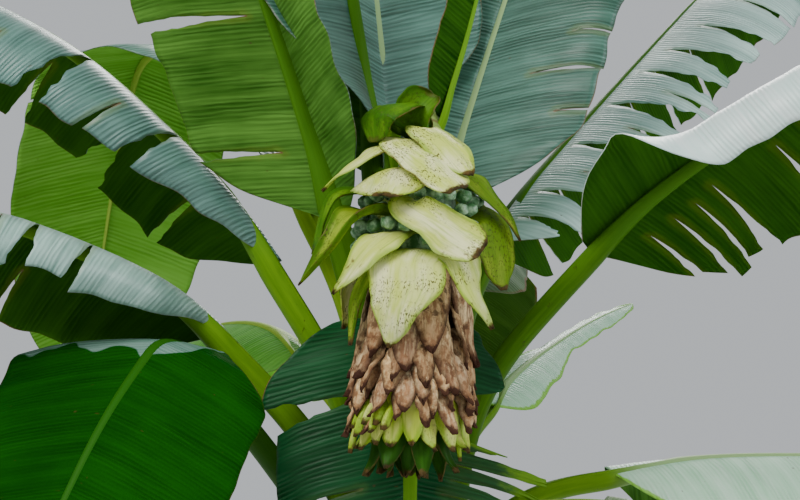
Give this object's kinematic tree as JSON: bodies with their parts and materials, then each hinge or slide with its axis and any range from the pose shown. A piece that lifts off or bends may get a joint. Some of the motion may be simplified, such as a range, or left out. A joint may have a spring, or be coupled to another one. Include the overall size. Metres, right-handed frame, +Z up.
{
  "type": "banana plant",
  "caption": "Whole banana plant: swollen false stem, crown of long arching leaves, and a hanging head of broad pale bracts over young fruit and a cone of dried bracts.",
  "frame": {"origin": "middle of the flat cut under the stem, at ground level", "axes": "+Z up along the stem; the hanging flowering head is on the -Y side; +X to the right of someone who faces the head"},
  "size_m": [4.3231, 3.233, 5.2193],
  "materials": {
    "stem": "smooth overlapping leaf sheaths, green with brown dry edges",
    "leaf_stalks": "smooth waxy yellow-green stalk with thin dark edges",
    "leaf_blades": "pleated leaf, bluish grey-green above and deep green below",
    "flower_stalk": "smooth fleshy green stalk",
    "bracts": "leathery pale lime bract with fine dark specks",
    "fruit": "dark blue-green berry with a pale bloom",
    "dry_bracts": "dried tan and mauve-brown papery bract",
    "fresh_bracts": "fleshy yellow-green bract tip",
    "inner_bracts": "dark green fleshy bract"
  },
  "bodies": {
    "root": {"bract_back_left": "bracts", "bract_back_low": "bracts", "bract_back_right": "bracts", "bract_back_side": "bracts", "bract_curled": "bracts", "bract_far_right": "bracts", "bract_front": "bracts", "bract_front_left": "bracts", "bract_front_right": "bracts", "bract_left_back": "bracts", "bract_left_edge": "bracts", "bract_left_low": "bracts", "bract_middle": "bracts", "bract_right": "bracts", "bract_right_back": "bracts", "bract_top": "bracts", "bract_top_left": "bracts", "bract_top_right": "bracts", "bract_upright": "bracts", "dry_bracts_lower": "dry_bracts", "dry_bracts_upper": "dry_bracts", "flag_leaf": "leaf_blades", "flower_stalk_hanging": "flower_stalk", "flower_stalk_rising": "flower_stalk", "fresh_bracts": "fresh_bracts", "fruit": "fruit", "inner_bracts": "inner_bracts", "leaf_01_blade": "leaf_blades", "leaf_01_stalk": "leaf_stalks", "leaf_02_blade": "leaf_blades", "leaf_02_stalk": "leaf_stalks", "leaf_03_blade": "leaf_blades", "leaf_03_stalk": "leaf_stalks", "leaf_04_blade": "leaf_blades", "leaf_04_stalk": "leaf_stalks", "leaf_05_blade": "leaf_blades", "leaf_05_stalk": "leaf_stalks", "leaf_06_blade": "leaf_blades", "leaf_06_stalk": "leaf_stalks", "leaf_07_blade": "leaf_blades", "leaf_07_stalk": "leaf_stalks", "leaf_08_blade": "leaf_blades", "leaf_08_stalk": "leaf_stalks", "leaf_09_blade": "leaf_blades", "leaf_09_stalk": "leaf_stalks", "leaf_10_blade": "leaf_blades", "leaf_10_stalk": "leaf_stalks", "leaf_11_blade": "leaf_blades", "leaf_11_stalk": "leaf_stalks", "leaf_12_blade": "leaf_blades", "leaf_12_stalk": "leaf_stalks", "leaf_13_blade": "leaf_blades", "leaf_13_stalk": "leaf_stalks", "leaf_14_blade": "leaf_blades", "leaf_14_stalk": "leaf_stalks", "leaf_15_blade": "leaf_blades", "leaf_15_stalk": "leaf_stalks", "leaf_16_blade": "leaf_blades", "leaf_16_stalk": "leaf_stalks", "pseudostem": "stem"}
  },
  "joints": []
}
